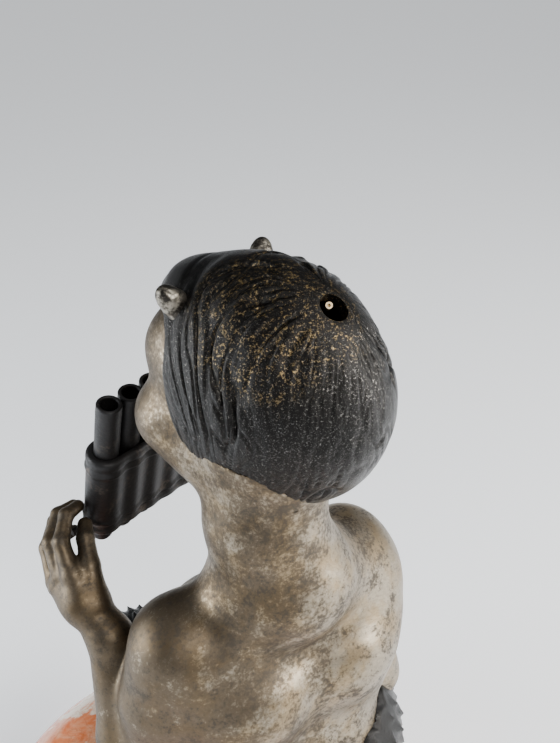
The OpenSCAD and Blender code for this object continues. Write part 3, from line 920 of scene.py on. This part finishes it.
hipsPart = hipPiece()
print("hips", len(hipsPart.data.polygons))
leftLeg, rightLeg = legPiece("leg_left", 1), legPiece("leg_right", -1)
leftHoof, rightHoof = hoofPiece("hoof_left", 1), hoofPiece("hoof_right", -1)
print("legs", len(leftLeg.data.polygons))

stone = {"columns": 300, "rows": 120, "waver": 0.35}


def stonePiece():
    # profile of flat middle and full round edge carried round the axis, worn inwards by a little smooth noise
    middle = (stoneLow[2] + stoneHigh[2]) / 2
    edge = (stoneHigh[2] - stoneLow[2]) / 2
    flat = stoneHigh[0] - edge
    side = np.linspace(-np.pi / 2, np.pi / 2, stone["rows"])
    inner = np.linspace(2, flat, 12, endpoint=False)
    radius = np.concatenate([inner, flat + edge * np.cos(side), inner[::-1]])
    height = np.concatenate([np.full(12, -edge), edge * np.sin(side), np.full(12, edge)])
    around = np.linspace(0, 2 * np.pi, stone["columns"], endpoint=False)
    h, a = np.meshgrid(np.arange(len(radius)), around, indexing="ij")
    bulge = np.clip((radius - flat) / edge, 0, 1)[h]
    worn = stone["waver"] * bulge * noise2(a * 7 / (2 * np.pi), h / 24.0, 41, 7)
    r = radius[h] - worn
    return gridPiece("stone", np.stack([r * np.cos(a), r * np.sin(a), middle + height[h]], -1))


stonePart = stonePiece()
print("stone")


class Sock:
    # wraps a socket, so that expressions on it add Math nodes
    def __init__(self, tree, socket):
        self.tree, self.socket = tree, socket

    def node(self, kind, settings=None, **inputs):
        # a node of this type, with its settings first and then values or links for its inputs
        made = self.tree.nodes.new(kind)
        for key, value in (settings or {}).items():
            setattr(made, key, value)
        for key, value in inputs.items():
            target = made.inputs[int(key[1:])] if key[0] == "i" and key[1:].isdigit() else made.inputs[key]
            if isinstance(value, Sock):
                self.tree.links.new(value.socket, target)
            else:
                target.default_value = value
        return made

    def out(self, made, which=0):
        return Sock(self.tree, made.outputs[which])

    def math(self, operation, first, second):
        return self.out(self.node("ShaderNodeMath", {"operation": operation}, i0=first, i1=second))

    def __add__(self, other):
        return self.math("ADD", self, other)

    def __radd__(self, other):
        return self.math("ADD", other, self)

    def __sub__(self, other):
        return self.math("SUBTRACT", self, other)

    def __rsub__(self, other):
        return self.math("SUBTRACT", other, self)

    def __mul__(self, other):
        return self.math("MULTIPLY", self, other)

    def __rmul__(self, other):
        return self.math("MULTIPLY", other, self)

    def noise(self, scale, detail=4.0, rough=0.55, stretch=None, turned=(0, 0, 0), distort=0.0):
        # noise on object coordinates; scale is cells per metre
        place = self
        if stretch:
            place = self.node("ShaderNodeMapping", None, Vector=self, Scale=stretch, Rotation=turned)
            place = self.out(place)
        return self.out(self.node("ShaderNodeTexNoise", None, Vector=place, Scale=scale, Detail=detail,
                                  Roughness=rough, Distortion=distort), "Fac")

    def band(self, low, high):
        # 0 below low, 1 above high, smooth between
        settings = {"interpolation_type": "SMOOTHSTEP", "clamp": True}
        return self.out(self.node("ShaderNodeMapRange", settings, i0=self, i1=low, i2=high))

    def tint(self, dark, light):
        # colour from one to the other as this value runs from 0 to 1
        return self.out(self.node("ShaderNodeMix", {"data_type": "RGBA"}, i0=self, i6=dark, i7=light), 2)

    def part(self, axis):
        # one of the three numbers of a place
        return self.out(self.node("ShaderNodeSeparateXYZ", None, Vector=self), axis)


def material(name):
    # a new node material: its shader, and its object coordinates as a Sock
    made = bpy.data.materials.new(name)
    made.use_nodes = True
    tree = made.node_tree
    place = tree.nodes.new("ShaderNodeTexCoord")
    return made, tree.nodes["Principled BSDF"], Sock(tree, place.outputs["Object"])


def feed(shader, place, colour, rough, metal, bump, bumpSize=0.0001, bumpStrength=0.5):
    # links or sets the shader's main sockets; bump is a height that is scaled by its size in metres
    for socket, value in (("Base Color", colour), ("Roughness", rough), ("Metallic", metal)):
        if isinstance(value, Sock):
            place.tree.links.new(value.socket, shader.inputs[socket])
        else:
            shader.inputs[socket].default_value = value
    made = place.node("ShaderNodeBump", None, Height=bump, Distance=bumpSize, Strength=bumpStrength)
    place.tree.links.new(made.outputs["Normal"], shader.inputs["Normal"])


def rgb(r, g, b):
    # a colour with full alpha
    return (r, g, b, 1.0)


finish = {
    "skinBright": (0.37, 0.32, 0.245),
    "skinWarm": (0.34, 0.262, 0.162),
    "skinBrown": (0.072, 0.050, 0.029),
    "skinGrey": (0.050, 0.045, 0.039),
    "hairBase": (0.005, 0.0045, 0.004),
    "hairLift": (0.013, 0.012, 0.011),
    "hairSilver": (0.40, 0.385, 0.36),
    "hairGold": (0.42, 0.29, 0.115),
    "pipeDark": (0.010, 0.009, 0.009),
    "pipeRub": (0.060, 0.046, 0.036),
    "stoneOrange": (0.72, 0.17, 0.05),
    "stonePale": (0.83, 0.45, 0.26),
    "stoneCream": (0.86, 0.76, 0.62),
    "stoneSand": (0.80, 0.62, 0.46),
    "stoneVein": (0.50, 0.13, 0.05),
    "skinScratch": (0.36, 0.32, 0.26),
    "hornPewter": (0.27, 0.245, 0.20),
    "hornDark": (0.05, 0.045, 0.038),
    "steel": (0.55, 0.55, 0.56),
    "blued": (0.045, 0.04, 0.036),
    "brass": (0.72, 0.56, 0.34),
    "felt": (0.03, 0.05, 0.04),
}


def rubbedBronze():
    # silvery bronze under a cloudy brown and grey patina, brushed aslant, with painted shade that browns the
    # figure's left, the side away from the window lamp
    made, shader, place = material("rubbed_bronze")
    # painted shade: a ramp across the body that browns the figure's left more, in place of the shade on the
    # side away from the lamps
    side = (place.part(0) + 0.026) * 8.0
    cloud = place.noise(85, 5, 0.62, distort=0.5)
    patch = place.noise(230, 6, 0.72)
    grain = place.noise(1100, 5, 0.78)
    brush = place.noise(560, 5, 0.72, stretch=(1, 6, 2.2), turned=(0.4, 0.5, 0.9))
    # mask of the cloudy brown patina, with the painted shade of the side ramp added in
    patinaAndShade = (cloud + side + (patch - 0.5) * 1.1 + (grain - 0.5) * 1.0 + (brush - 0.5) * 0.8).band(0.34, 0.70)
    grey = (patch + (cloud - 0.5) * 0.5 + (grain - 0.5) * 0.9 + (brush - 0.5) * 0.5).band(0.50, 0.70)
    warm = place.noise(130, 4, 0.6).band(0.42, 0.62)
    bright = warm.tint(rgb(*finish["skinBright"]), rgb(*finish["skinWarm"]))
    brushed = brush.band(0.3, 0.7).tint(rgb(*finish["skinScratch"]), rgb(1, 1, 1))
    settings = {"data_type": "RGBA", "blend_type": "MULTIPLY"}
    worn = place.out(place.node("ShaderNodeMix", settings, i0=0.5, i6=bright, i7=brushed), 2)
    browned = (patinaAndShade * 0.82).tint(worn, rgb(*finish["skinBrown"]))
    colour = (grey * 0.62).tint(browned, rgb(*finish["skinGrey"]))
    rough = 0.37 + patinaAndShade * 0.10 + grey * 0.08 + (grain - 0.5) * 0.10
    feed(shader, place, colour, rough, 0.92, brush * 0.5 + grain * 0.5, 0.00014, 0.5)
    return made


def darkPatina(name, fleckShare, goldShare):
    # near black with dense silver specks, and gold worn through along streaks beside the crown
    made, shader, place = material(name)
    speck = place.noise(6500, 2, 0.6)
    coarse = place.noise(2200, 4, 0.75)
    cloud = place.noise(95, 4, 0.6)
    streak = place.noise(420, 6, 0.8, distort=1.6)
    fleck = (speck + (coarse - 0.5) * 0.9).band(0.62, 0.76)
    spot = fromHead(hair["goldAt"]) * millimetre
    away = [(place.part(a) - float(spot[a])) * (1 / (hair["goldReach"] * millimetre)) for a in range(3)]
    reach = away[0] * away[0] + away[1] * away[1] + away[2] * away[2]
    goldField = 1 - (reach - (cloud - 0.5) * 2.0).band(0.25, 1.3)
    gold = (streak + (coarse - 0.5) * 1.1 + (speck - 0.5) * 0.5).band(0.58, 0.72) * goldField
    base = coarse.tint(rgb(*finish["hairBase"]), rgb(*finish["hairLift"]))
    flecked = (fleck * fleckShare).tint(base, rgb(*finish["hairSilver"]))
    colour = (gold * goldShare).tint(flecked, rgb(*finish["hairGold"]))
    rough = 0.31 - fleck * 0.05 + (cloud - 0.5) * 0.12
    feed(shader, place, colour, rough, 0.85, speck * 0.6 + coarse * 0.8, 0.00016, 0.7)
    return made


def blackPatina():
    # near black, rubbed brown in patches
    made, shader, place = material("black_patina")
    cloud = place.noise(180, 4)
    fine = place.noise(1500, 3)
    rub = (cloud + (fine - 0.5) * 0.5).band(0.55, 0.78)
    colour = rub.tint(rgb(*finish["pipeDark"]), rgb(*finish["pipeRub"]))
    feed(shader, place, colour, 0.50 + (fine - 0.5) * 0.2, 0.45, fine, 0.00012, 0.5)
    return made


def hornMetal():
    # pewter with a cloudy dark patina
    made, shader, place = material("horn_metal")
    cloud = place.noise(520, 4)
    fine = place.noise(2500, 3)
    dark = (cloud + (fine - 0.5) * 0.4).band(0.40, 0.60)
    colour = dark.tint(rgb(*finish["hornPewter"]), rgb(*finish["hornDark"]))
    feed(shader, place, colour, 0.36 + (fine - 0.5) * 0.2, 0.95, fine, 0.0001, 0.5)
    return made


def marble():
    # polished orange stone with cream patches and fine darker veins
    made, shader, place = material("mottled_marble")
    big = place.noise(34, 5, 0.6, distort=1.2)
    mid = place.noise(120, 6, 0.65, distort=0.8)
    vein = place.noise(60, 8, 0.7, distort=2.5)
    orange = mid.band(0.35, 0.7).tint(rgb(*finish["stoneOrange"]), rgb(*finish["stonePale"]))
    cream = mid.tint(rgb(*finish["stoneSand"]), rgb(*finish["stoneCream"]))
    mottle = (big + (mid - 0.5) * 0.45).band(0.53, 0.60)
    patched = mottle.tint(orange, cream)
    line = 1 - ((vein - 0.5) * (vein - 0.5) * 900).band(0.0, 1.0)
    colour = (line * 0.35).tint(patched, rgb(*finish["stoneVein"]))
    feed(shader, place, colour, 0.22 + (mid - 0.5) * 0.1, 0.0, vein, 0.0001, 0.05)
    shader.inputs["Coat Weight"].default_value = 0.3
    return made


def turned(name, colour, rough, metal, scale=1500):
    # one colour with fine grain, for the small fittings and the felt
    made, shader, place = material(name)
    fine = place.noise(scale, 3)
    shade = fine.tint(rgb(*[c * 0.8 for c in colour]), rgb(*[min(1, c * 1.12) for c in colour]))
    feed(shader, place, shade, rough + (fine - 0.5) * 0.15, metal, fine, 0.00008, 0.3)
    return made


skinMetal, pipeMetal, hornFinish, stoneFinish = rubbedBronze(), blackPatina(), hornMetal(), marble()
hairMetal = darkPatina("dark_patina", 0.55, 0.62)
furMetal = darkPatina("fur_patina", 0.16, 0.0)
steelFinish = turned("turned_steel", finish["steel"], 0.35, 1.0)
bluedFinish = turned("blued_steel", finish["blued"], 0.5, 0.9)
brassFinish = turned("turned_brass", finish["brass"], 0.38, 1.0)
feltFinish = turned("felt", finish["felt"], 0.95, 0.0, 4000)
print("materials")


def dress(piece, finish, slot, *nodes):
    # finish, slot (not used) and the CAD nodes that a piece stands for
    piece.data.materials.clear()
    piece.data.materials.append(finish)
    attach(piece, "root")
    if nodes:
        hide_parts(*nodes)


dress(torsoPiece, skinMetal, "rubbed_bronze", "torso_shell")
dress(leftArmPiece, skinMetal, "rubbed_bronze", "left_arm")
dress(rightArmPiece, skinMetal, "rubbed_bronze", "right_arm")
dress(faceObject, skinMetal, "rubbed_bronze", "head_shell")
dress(hairPart, hairMetal, "dark_patina", "hair_cap")
dress(leftHorn, hornFinish, "horn_metal", "left_horn")
dress(rightHorn, hornFinish, "horn_metal", "right_horn")
dress(hipsPart, furMetal, "dark_patina", "hip_casting")
dress(leftLeg, furMetal, "dark_patina", "left_leg")
dress(rightLeg, furMetal, "dark_patina", "right_leg")
dress(leftHoof, pipeMetal, "dark_patina")
dress(rightHoof, pipeMetal, "dark_patina")
dress(bandPiece, pipeMetal, "pipe_black", "pipe_binding")
for k, piece in enumerate(pipePieces):
    dress(piece, pipeMetal, "pipe_black", "pipe_" + str(k + 1))
dress(stonePart, stoneFinish, "marble", "stone_base")
keptNodes = {"felt_pad": feltFinish, "head_nut": brassFinish, "cap_pin": brassFinish}
for node in ("base_washer", "base_nut", "tie_rod", "base_dowel", "shoulder_pins", "leg_pins"):
    keptNodes[node] = steelFinish
for node in ("left_hand_pin", "right_hand_pin"):
    keptNodes[node] = bluedFinish
for node, metal in keptNodes.items():
    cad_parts[node].data.materials.clear()
    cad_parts[node].data.materials.append(metal)

stage = {
    "floorHalf": 3.0,
    "floorColour": (0.82, 0.845, 0.875, 1),
    "floorGlow": 0.40,
    "worldColour": (0.86, 0.90, 0.96, 1),
    "worldStrength": 0.14,
    "sunStrength": 1.15,
}


def floorPiece():
    # a square at the height of the felt's underside, with a faint glow of its own
    h = stage["floorHalf"] / millimetre
    z = floorHeight
    corners = np.array([[-h, -h, z], [h, -h, z], [h, h, z], [-h, h, z]])
    plane = makeMesh("floor", corners, np.array([[0, 1, 2, 3]]))
    made, shader, place = material("floor_paint")
    shader.inputs["Base Color"].default_value = stage["floorColour"]
    shader.inputs["Roughness"].default_value = 0.8
    shader.inputs["Emission Color"].default_value = stage["floorColour"]
    shader.inputs["Emission Strength"].default_value = stage["floorGlow"]
    plane.data.materials.append(made)


def softLight(name, kind, place, aim, power, colour, size):
    # a light at a point of the figure's own frame, turned to its aim
    lamp = bpy.data.lights.new(name, kind)
    lamp.energy, lamp.color = power, colour
    if kind == "AREA":
        lamp.shape, lamp.size = "DISK", size
    else:
        lamp.angle = size
    item = bpy.data.objects.new(name, lamp)
    bpy.context.scene.collection.objects.link(item)
    item.location = np.asarray(place) * millimetre
    way = np.asarray(aim, float) - np.asarray(place, float)
    item.rotation_euler = Vector(way.tolist()).to_track_quat("-Z", "Y").to_euler()


eye = {
    "place": (75.5, 115.7, 90.9),   # from the head's centre
    "below": 33,                    # degrees that it looks down
    "heading": 146,
    "lens": 43.6,
    "sensor": 36.0,
}


def cameraPiece():
    # a camera above and behind the figure's left shoulder
    lens = bpy.data.cameras.new("camera")
    lens.lens, lens.sensor_width, lens.sensor_fit = eye["lens"], eye["sensor"], "AUTO"
    lens.clip_start, lens.clip_end = 0.005, 20.0
    item = bpy.data.objects.new("camera", lens)
    bpy.context.scene.collection.objects.link(item)
    item.location = up(*eye["place"]) * millimetre
    item.rotation_euler = (math.pi / 2 - math.radians(eye["below"]), 0, math.radians(eye["heading"]))
    bpy.context.scene.camera = item


floorPiece()
cameraPiece()
target = up(0, 0, -30)
warm, cool = (1.0, 0.98, 0.95), (0.92, 0.96, 1.0)
# name, kind, place from the target, power, colour, size of a panel or angle of the sky
lights = [
    ("sky", "SUN", (-150, 120, 500), stage["sunStrength"], (1.0, 0.99, 0.97), 0.7),
    ("window", "AREA", (-380, 350, 170), 6.5, warm, 0.36),
    ("key", "AREA", (50, 355, 240), 1.2, warm, 0.16),
    ("back", "AREA", (400, -215, 50), 3.0, cool, 0.3),
]
for name, kind, place, power, colour, size in lights:
    softLight(name, kind, target + np.array(place), target, power, colour, size)
world = bpy.data.worlds.new("studio")
bpy.context.scene.world = world
world.use_nodes = True
world.node_tree.nodes["Background"].inputs["Color"].default_value = stage["worldColour"]
world.node_tree.nodes["Background"].inputs["Strength"].default_value = stage["worldStrength"]
